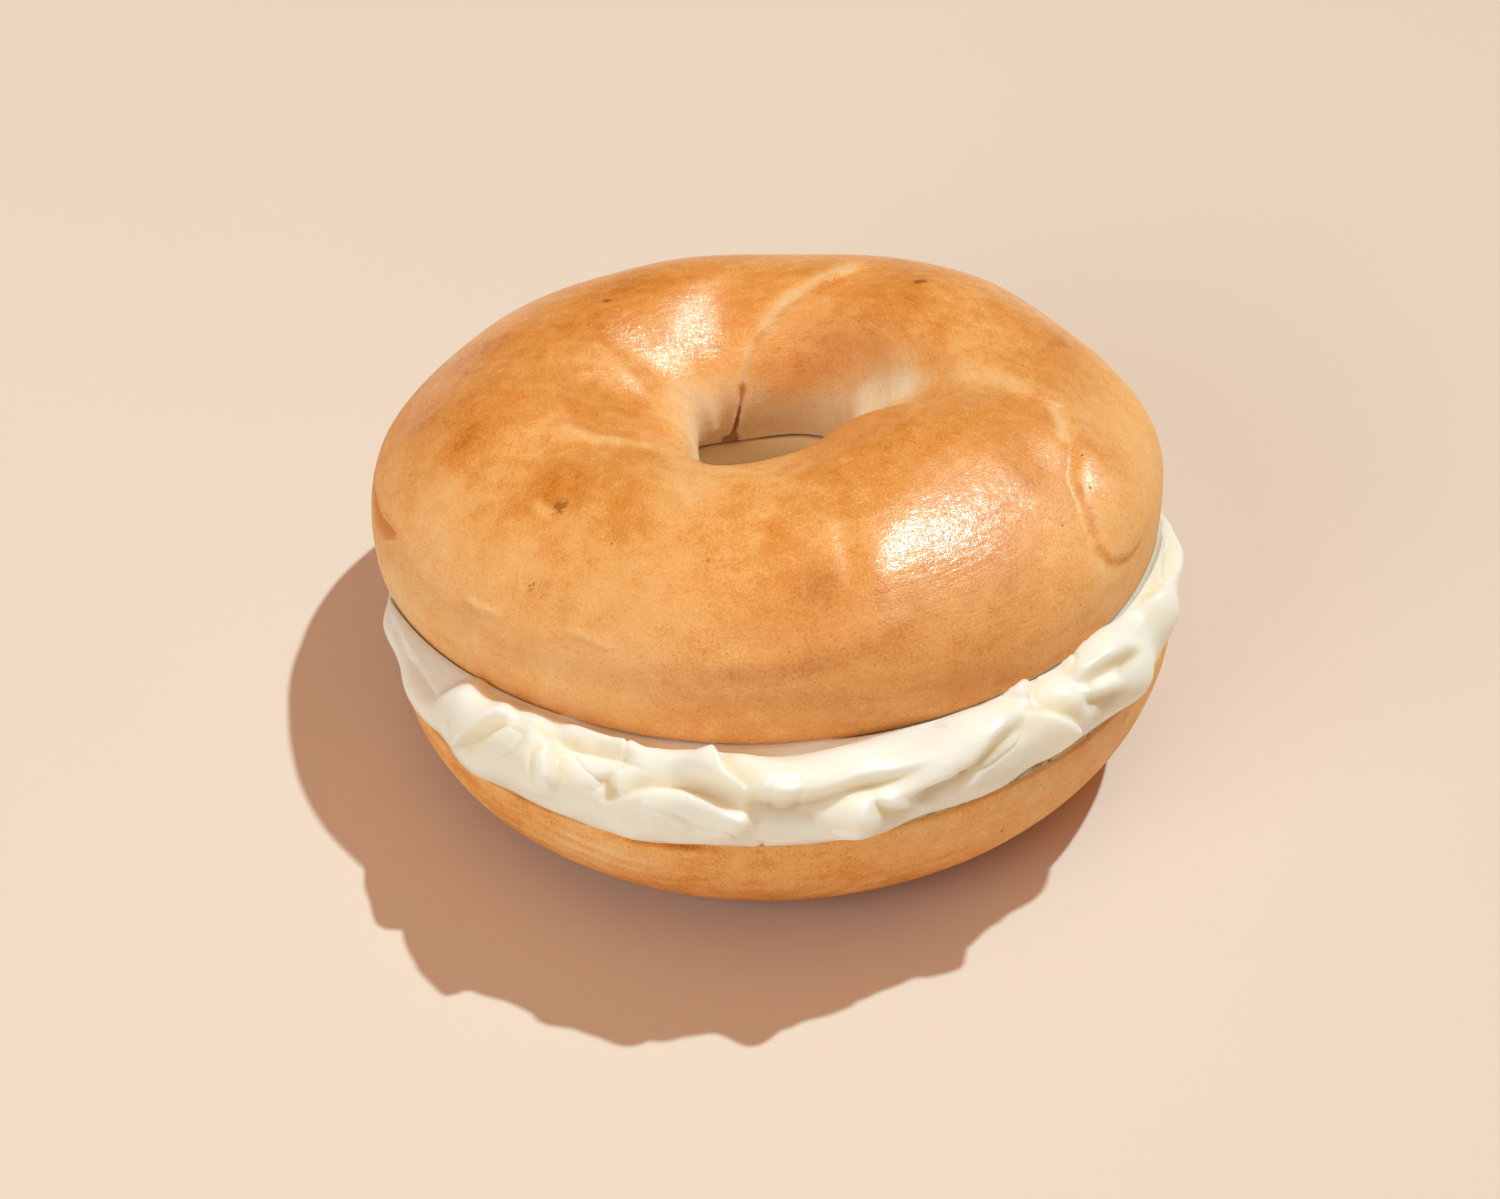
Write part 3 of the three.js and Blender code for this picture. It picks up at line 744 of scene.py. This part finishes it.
def cream_material():
    """Cream cheese. The mesh brings 'skin', as for the crust, 'fold' (1 deep in a crevice,
    where the colour is darkened as painted shade) and 'hole_shade' (1 at the cream's end in
    the hole, which is painted a warm shade)."""
    m = Shader("cream_cheese")
    place = m.object_place()
    hole_shade = m.attribute("hole_shade")
    cloud = m.noise(place, 70.0, detail=3.0, roughness=0.5)
    colour = m.mix(m.level(cloud, -0.6, 0.6), CREAM_PALE, CREAM_WARM)
    # painted shade in the crevices
    colour = m.mix(m.times(m.attribute("fold"), 0.45), colour, CREAM_CREVICE_SHADE)
    # painted warm shade at the cream's end in the hole
    colour = m.mix(hole_shade, colour, CREAM_HOLE_SHADE)
    grain = m.noise(place, 900.0, detail=3.0, roughness=0.6)
    smear = m.noise(m.stretch(m.attribute("skin", "Vector"), (0.35, 0.35, 1.4)), 0.6,
                    detail=3.0, roughness=0.55, distortion=0.6)
    wet = m.noise(place, 260.0, detail=3.0, roughness=0.6)
    m.set(Base_Color=colour, Roughness=m.level(wet, -0.5, 0.5, 0.30, 0.46),
          Normal=m.bump(m.plus(m.times(grain, 0.008), m.times(smear, 0.05))))
    m.set(IOR=1.45, Specular_IOR_Level=0.5)
    m.set(Subsurface_Weight=m.level(hole_shade, 0.0, 1.0, 0.9, 0.1), Subsurface_Scale=0.0026,
          Subsurface_Radius=(1.0, 0.9, 0.78))
    return m.material


glazed_crust = baked_material("upper_crust", gloss_rough=0.27, matt_rough=0.50, coat=0.9,
                              streaks=0.06, ripple=0.03)
dull_crust = baked_material("lower_crust", gloss_rough=0.48, matt_rough=0.62, coat=0.15,
                            streaks=0.16, ripple=0.08)
crumb = crumb_material()
cheese = cream_material()


# ---------------------------------------------------------------- upper half
def upper_looks(skin):
    """Golden over the crown, paler at the foot and down in the hole, with its marks. Some of
    the tints and lines are painted highlights and painted shade.
    """
    section = skin.section / RAD
    front = 0.5 - 0.5 * np.sin(skin.around)             # 1 at the front, 0 at the back
    pale_from = 142 + 14 * skin.towards(58, 0.61) - 14 * skin.towards(5, 0.38)
    brown_and_painted_light = (0.58 - 0.13 * between(section, 62, 2) + 0.03 * front * between(section, 90, 120)
             - 0.48 * between(section - pale_from, 0, 30)
             + 0.07 * (1 - front) * between(section, 148, 112) + skin.spots(TINTS_AND_PAINTED_LIGHT))
    for path, half_width, amount in LINES_AND_PAINTED_HIGHLIGHTS:
        distance, _, along = skin.to_path(path)
        brown_and_painted_light = brown_and_painted_light + amount * faded(along, LINE_ENDS, LINE_ENDS) * bell(distance, half_width)
    burn = skin.spots(FLECKS)
    for path, half_width, amount in CRACKS:
        distance, _, along = skin.to_path(path)
        burn = burn + amount * smooth(along * CRACK_START) * bell(distance, half_width)
    glaze = (0.10 + 0.70 * between(section, 20, 50) - 0.6 * between(section, 156, 176)
             + skin.spots(GLAZED))
    seam = bell(skin.to_path(SHINY_SEAM)[0], SEAM_WIDTH)
    wrinkle = (0.15 + skin.spots(WRINKLED) + seam) * between(section, 164, 148)
    dull = between(section, 80, 10) * (0.6 + 0.4 * front)
    return dict(brown_and_painted_light=brown_and_painted_light, burn=burn, glaze=glaze, dull=dull, wrinkle=wrinkle)


wall_turn = TOP["skirt"] / TOP["rise"]
skin = bread_skin(-wall_turn, math.pi + wall_turn, UPPER_CRUST_STEPS, UPPER_RING)
crust = lumpy(top_crust, skin, crust_relief(skin), 0.10, 7.0, seed=3)
a, share = grid(BREAD_AROUND, np.linspace(0, 1, FACE_STEPS)[1:-1])
bread_half("top_half_bread", "top_half", skin, crust, top_face(a, share),
           upper_looks(skin), glazed_crust)


# ---------------------------------------------------------------- lower half
def lower_looks(skin):
    """Browner underneath and paler in the hole. At the front left there is a pale streaky
    place with a dark one on the rim beside it, and the front right is a little paler."""
    section = skin.section / RAD
    streaks = 0.6 + 0.4 * np.cos(section * 0.9 + 3 * np.sin(9 * skin.around))
    pale_place = streaks * skin.towards(241, 0.16) * bell(section + 12, 9)
    dark_rim = skin.towards(253, 0.12) * bell(section - 1.5, 2.2)
    pale_side = skin.towards(325, 0.5) * bell(section + 8, 26)
    brown_and_painted_light = (0.53 + 0.26 * between(section, -5, -65) + 0.1 * between(section, -60, -100)
             - 0.4 * between(section, -140, -170)
             - 0.26 * pale_place + 0.4 * dark_rim - 0.15 * pale_side)
    none = np.zeros(section.shape)
    return dict(brown_and_painted_light=brown_and_painted_light, burn=none, glaze=none + 0.1, dull=none, wrinkle=none + 0.15)


wall_turn = (BOTTOM["cut"] - BOTTOM["widest"]) / BOTTOM["widest"]
skin = bread_skin(-math.pi - wall_turn, wall_turn, LOWER_CRUST_STEPS, LOWER_RING)
crust = lumpy(bottom_crust, skin, 0, 0.12, 8.0, seed=5)
bread_half("bottom_half_bread", "bottom_half", skin, crust,
           bottom_face(a, 1 - share), lower_looks(skin), dull_crust)


# ---------------------------------------------------------------- cream cheese
def cream_relief(skin, bead):
    """Height of the laps, lumps and fine folds, and how deep in a crevice each point is."""
    height, fold = 0, 0
    for path, rise, lap_side, reach, depth in SWIRLS:
        distance, side, along = skin.to_path(path)
        fade = faded(along, LAP_ENDS, LAP_ENDS)
        over = distance * side * lap_side               # above 0 on the lap's side
        lap = between(over, -0.3, 1.0) * bell(np.maximum(over, 0), reach)
        crevice = bell(over, np.where(over > 0, 0.6, 1.5))
        height = height + fade * (rise * lap - depth * crevice)
        fold = np.maximum(fold, fade * crevice)
    height = height + skin.spots(LUMPS)
    spread = Skin(skin.around, skin.section, SPREAD_RING, skin.tube).place()
    swirl = lattice_noise(spread, 4.6, 7) + 0.35 * lattice_noise(spread, 2.1, 8)
    creased = between(lattice_noise(spread, 6.0, 9), -0.25, 0.25)
    crease = bell(swirl, 0.07) * creased
    height = height + 0.45 * swirl - 0.32 * crease
    fold = np.maximum(fold, 0.8 * crease)
    return RELIEF_GAIN * height * np.minimum(bead / FULL_BEAD, 1), fold


def cream_bead(a, at, core, bead):
    """Points round the bead, and how deep in a crevice each is."""
    share = np.linspace(0, 1, BEAD_STEPS)[None, :]
    turn = (BEAD_FROM + (BEAD_TO - BEAD_FROM) * share) * RAD
    wave = sum(height * np.cos(times * a + over * turn)
               for times, over, height in CREAM["folds"])
    relief, fold = cream_relief(Skin(*np.broadcast_arrays(a, turn), BEAD_RING, bead), bead)
    swell = (bead + wave * np.sin(math.pi * share) ** 2 - 0.25 * (1 - share)
             + relief * faded(share, 5, 6))
    p = at(core + swell * np.cos(turn))
    height = (bottom_cut(at(core)) + GAP + bead - round_knots(a, CREAM["sag"])
              + swell * np.sin(turn))
    # the bead's upper part fills up to the upper half's cut: it stands 1 mm above that just
    # outside the half, falls off further out, and doesn't go into the half
    past = past_outline(p, TOP)
    outside = np.maximum(past, 0)
    filled = top_cut(p) + between(past, -0.5, 0.2) - 0.45 * outside - 0.06 * outside ** 2
    height = np.where(turn > FILL_FROM * RAD, soft_max(height, filled, 0.5), height)
    height = np.where(past < 0, np.minimum(height, filled), height)
    # over the lower half and its rim it doesn't go below the cut face
    on_bread = past_outline(p, BOTTOM) < RIM_REACH
    height = np.where(on_bread, np.maximum(height, bottom_cut(p) + GAP), height)
    return raised(p, height), fold


def cream_end(a, at):
    """Points down the filling's round end in the hole, which swells up at the back."""
    nose = np.linspace(0, math.pi, END + 2)[None, 1:-1]
    p = at(-1.3 * np.sin(nose) + 0 * a)
    ceiling = top_cut(p) - TOUCH
    floor = bottom_cut(p) + GAP
    swell = 0.45 * smooth(np.sin(a)) * bell(nose - 0.45, 0.35)
    return raised(p, ceiling + (floor - ceiling) * (1 - np.cos(nose)) / 2 + swell)


def cream_points():
    """Points of the filling, and how deep in a crevice each is. Over the section they go out
    over the lower half, round the bead, in under the upper half and down at the hole."""
    a = (np.arange(CREAM_AROUND) / CREAM_AROUND * 2 * math.pi)[:, None]
    ux, uy = np.cos(a), np.sin(a)
    power = 2 / CREAM["square"]
    wide, deep = CREAM["hole"]
    inner = np.stack([CREAM["x"] + wide * np.sign(ux) * np.abs(ux) ** power,
                      CREAM["y"] + deep * np.sign(uy) * np.abs(uy) ** power], -1)
    reach = BOTTOM["radius"] + wave_sum(a, BOTTOM["waves"]) + round_knots(a, CREAM["spill"])
    edge = np.stack([BOTTOM["x"] + reach * ux, BOTTOM["y"] + reach * uy], -1)
    span, at = way(inner, edge)
    p = at(span - ROOM_AT)
    room = top_cut(p) - bottom_cut(p) - 2 * GAP
    bead = np.maximum(round_knots(a, CREAM["bead"]), room / 2)
    core = span - bead

    p = at(core * np.linspace(0.1, 0.9, UNDER))
    lower = raised(p, bottom_cut(p) + GAP)
    outer, crevice = cream_bead(a, at, core, bead)
    p = at((core - bead) * np.linspace(0.9, 0.1, OVER))
    upper = raised(p, top_cut(p) - TOUCH)

    points = np.concatenate([lower, outer, upper, cream_end(a, at)], 1)
    fold = np.zeros(points.shape[:2])
    fold[:, UNDER:UNDER + BEAD_STEPS] = crevice
    return points, fold


points, fold = cream_points()
steps = points.shape[1]
a, step = grid(CREAM_AROUND, np.arange(steps))
# the cream's end in the hole gets the painted warm shade, and fold darkens its crevices as
# painted shade
hole_shade = np.concatenate([np.zeros(steps - HOLE_SHADE_FADE - END), np.linspace(0, 1, HOLE_SHADE_FADE),
                        np.ones(END)])
hole_shade[0] = 1.0
ring_piece("cream_cheese_filling", points, "cream_cheese",
           dict(skin=Skin(a, step, SMEAR_RING, SMEAR_STEP).place(), fold=fold,
                hole_shade=np.broadcast_to(hole_shade, fold.shape)), [cheese])

# ---------------------------------------------------------------- floor
REACH = 9                   # metres to each side
corners = [(-REACH, -REACH, 0), (REACH, -REACH, 0), (REACH, REACH, 0), (-REACH, REACH, 0)]
floor = add_object("floor", bpy.data.meshes.new("floor"))
floor.data.from_pydata(corners, [], [(0, 1, 2, 3)])
ground = Shader("floor")
cloud = ground.level(ground.noise(ground.object_place(), 9.0), -1, 1)
ground.set(Base_Color=ground.mix(cloud, (0.780, 0.650, 0.535, 1), (0.800, 0.668, 0.553, 1)),
           Roughness=0.8, Specular_IOR_Level=0.2)
floor.data.materials.append(ground.material)


# ---------------------------------------------------------------- light and camera
def add_looking(name, data, place, away):
    """Adds a light or a camera that looks against the direction away."""
    thing = add_object(name, data)
    thing.location = place
    thing.rotation_euler = away.to_track_quat("Z", "Y").to_euler()
    return thing


toward_light = np.array([0.46, 0.35, 1.0])
key = bpy.data.lights.new("key", "SUN")
key.energy = 2.85
key.color = (0.67, 0.895, 0.97)
key.angle = 1.6 * RAD
add_looking("key", key, (0, 0, 0), Vector(toward_light / np.linalg.norm(toward_light)))

fill = bpy.data.lights.new("fill", "AREA")
fill.shape = "DISK"
fill.size = 0.9
fill.energy = 6.2
fill.color = (0.74, 0.90, 0.95)
fill_place = Vector((-0.71, -0.80, 0.50))
add_looking("fill", fill, fill_place, fill_place)

# The studio glows warmly from above and is nearly dark at the sides.
world = bpy.data.worlds.new("studio")
world.use_nodes = True
studio = Nodes(world.node_tree)
direction = studio.add("ShaderNodeTexCoord").outputs["Generated"]
upward = studio.add("ShaderNodeSeparateXYZ", Vector=direction).outputs["Z"]
glow = studio.mix(studio.math("POWER", upward, 4.0), (0.12, 0.055, 0.03, 1),
                  (1.04, 0.465, 0.17, 1))
studio.plug(world.node_tree.nodes["Background"].inputs[0], glow)
bpy.context.scene.world = world

ELEVATION, DISTANCE, FIELD = 40.0, 413.6, 28.0      # degrees, mm, degrees
target = Vector((-2.3, 15.2, 0.0))
away = Vector((0, -math.cos(ELEVATION * RAD), math.sin(ELEVATION * RAD)))
lens = bpy.data.cameras.new("camera")
lens.angle = FIELD * RAD
lens.clip_start = 0.01
bpy.context.scene.camera = add_looking("camera", lens, (target + away * DISTANCE) * MM, away)
bpy.context.scene.view_settings.view_transform = "Standard"
